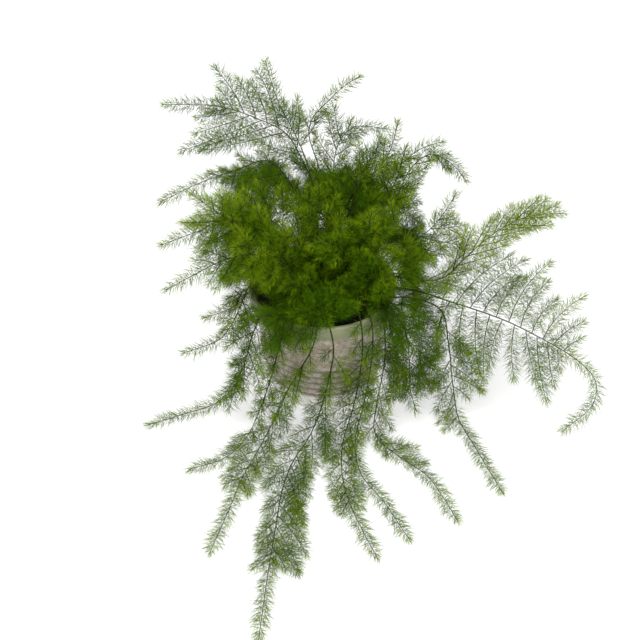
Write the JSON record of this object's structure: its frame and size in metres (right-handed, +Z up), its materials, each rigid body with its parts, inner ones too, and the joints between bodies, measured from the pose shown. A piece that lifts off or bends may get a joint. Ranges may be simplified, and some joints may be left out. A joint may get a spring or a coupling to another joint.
{
  "type": "potted asparagus fern",
  "caption": "Asparagus fern in a small round tapered nursery pot, with arching and trailing fronds of fine needles standing in potting mix.",
  "frame": {"origin": "the middle of the pot's flat foot, on the surface it stands on", "axes": "+Z up along the pot's axis, -Y towards the side where the longest fronds trail, +X towards the broad arching frond"},
  "size_m": [0.2332, 0.3, 0.1602],
  "materials": {
    "pot_plastic": "milky, slightly translucent moulded plastic",
    "potting_mix": "damp, crumbly peat and bark",
    "foliage": "fine fresh green needles on wiry dark green stems, yellow-green at the young tips"
  },
  "bodies": {
    "root": {"pot": "pot_plastic", "potting_mix": "potting_mix", "frond_top_left": "foliage", "frond_top_fan": "foliage", "frond_top_arch": "foliage", "frond_top_plume": "foliage", "frond_left_upper": "foliage", "frond_left_bright": "foliage", "frond_left_middle": "foliage", "frond_left_low": "foliage", "frond_left_small": "foliage", "frond_left_droop": "foliage", "frond_front_left": "foliage", "frond_front_side": "foliage", "frond_front_middle": "foliage", "frond_front_inner": "foliage", "frond_front_right": "foliage", "frond_right_front": "foliage", "frond_right_droop": "foliage", "frond_right_arch": "foliage", "frond_right_upper": "foliage", "frond_right_tall": "foliage", "frond_back_right": "foliage", "frond_back_right_tall": "foliage", "frond_back_middle": "foliage", "frond_crown_arch": "foliage", "frond_crown_low": "foliage", "frond_crown_middle": "foliage", "frond_crown_right": "foliage", "frond_crown_tall": "foliage", "frond_crown_bright": "foliage", "frond_crown_front": "foliage", "frond_crown_side": "foliage", "frond_crown_edge": "foliage", "frond_back_left_fall": "foliage", "frond_back_fall": "foliage", "frond_back_right_fall": "foliage", "frond_left_fall": "foliage", "frond_right_fall": "foliage", "frond_right_low": "foliage", "frond_rim_left": "foliage", "frond_rim_middle": "foliage", "frond_front_low": "foliage", "frond_crown_rim": "foliage"}
  },
  "joints": []
}
